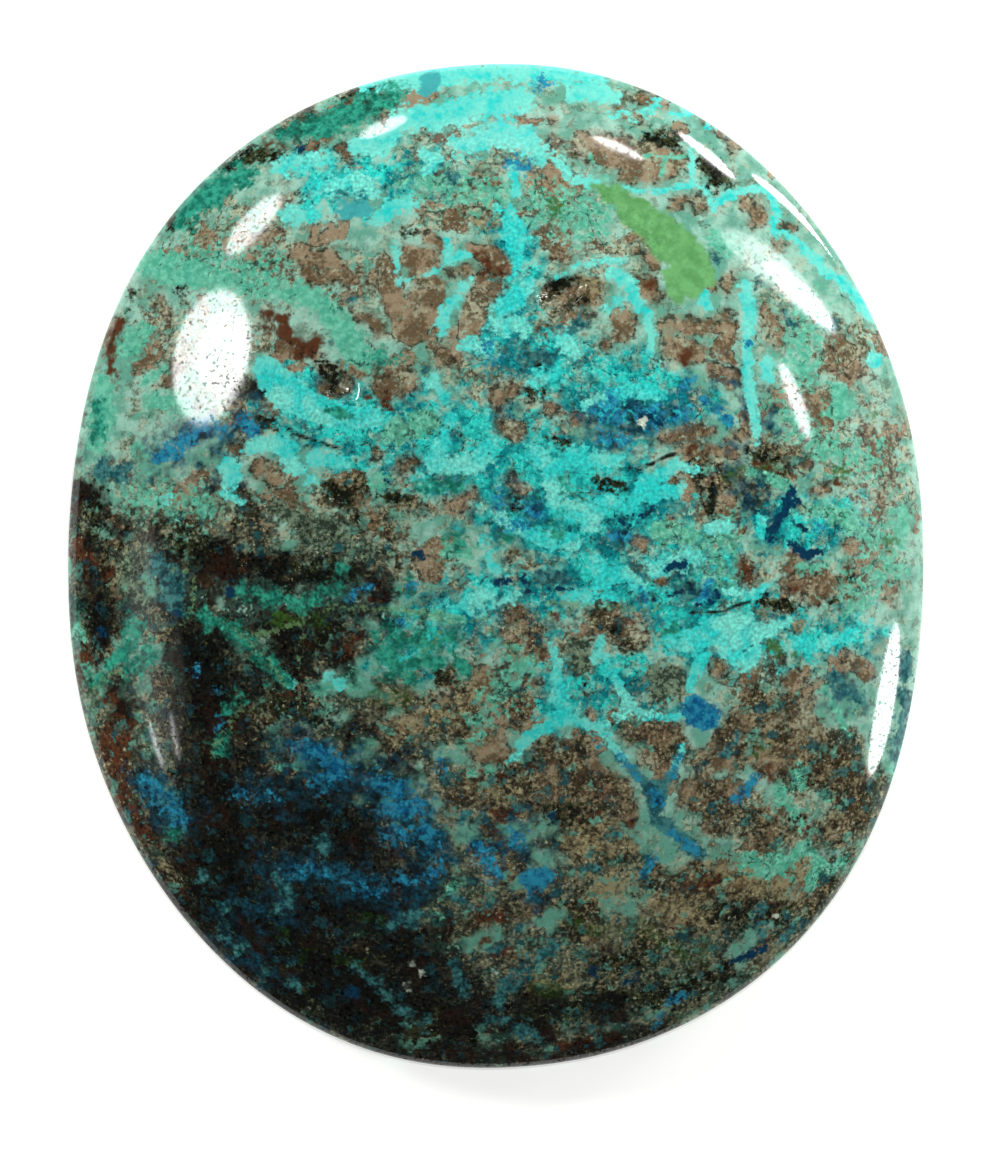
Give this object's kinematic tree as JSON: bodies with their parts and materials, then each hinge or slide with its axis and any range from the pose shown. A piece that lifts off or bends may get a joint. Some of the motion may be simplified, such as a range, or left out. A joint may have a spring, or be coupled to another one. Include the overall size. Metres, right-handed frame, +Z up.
{
  "type": "oval cabochon",
  "caption": "Polished oval cabochon of azurite, chrysocolla and malachite in brown copper ore, with a flat back, a narrow bevel, a girdle and a low dome.",
  "frame": {"origin": "middle of the flat back, on the surface that the stone rests on", "axes": "+Z up through the dome, +Y along the oval's long axis, +X across it"},
  "size_m": [0.0274, 0.032, 0.0066],
  "materials": {
    "polished_ore": "polished copper ore: brown and black matrix with turquoise, green and blue patches and veins"
  },
  "bodies": {
    "root": {"cabochon": "polished_ore"}
  },
  "joints": []
}
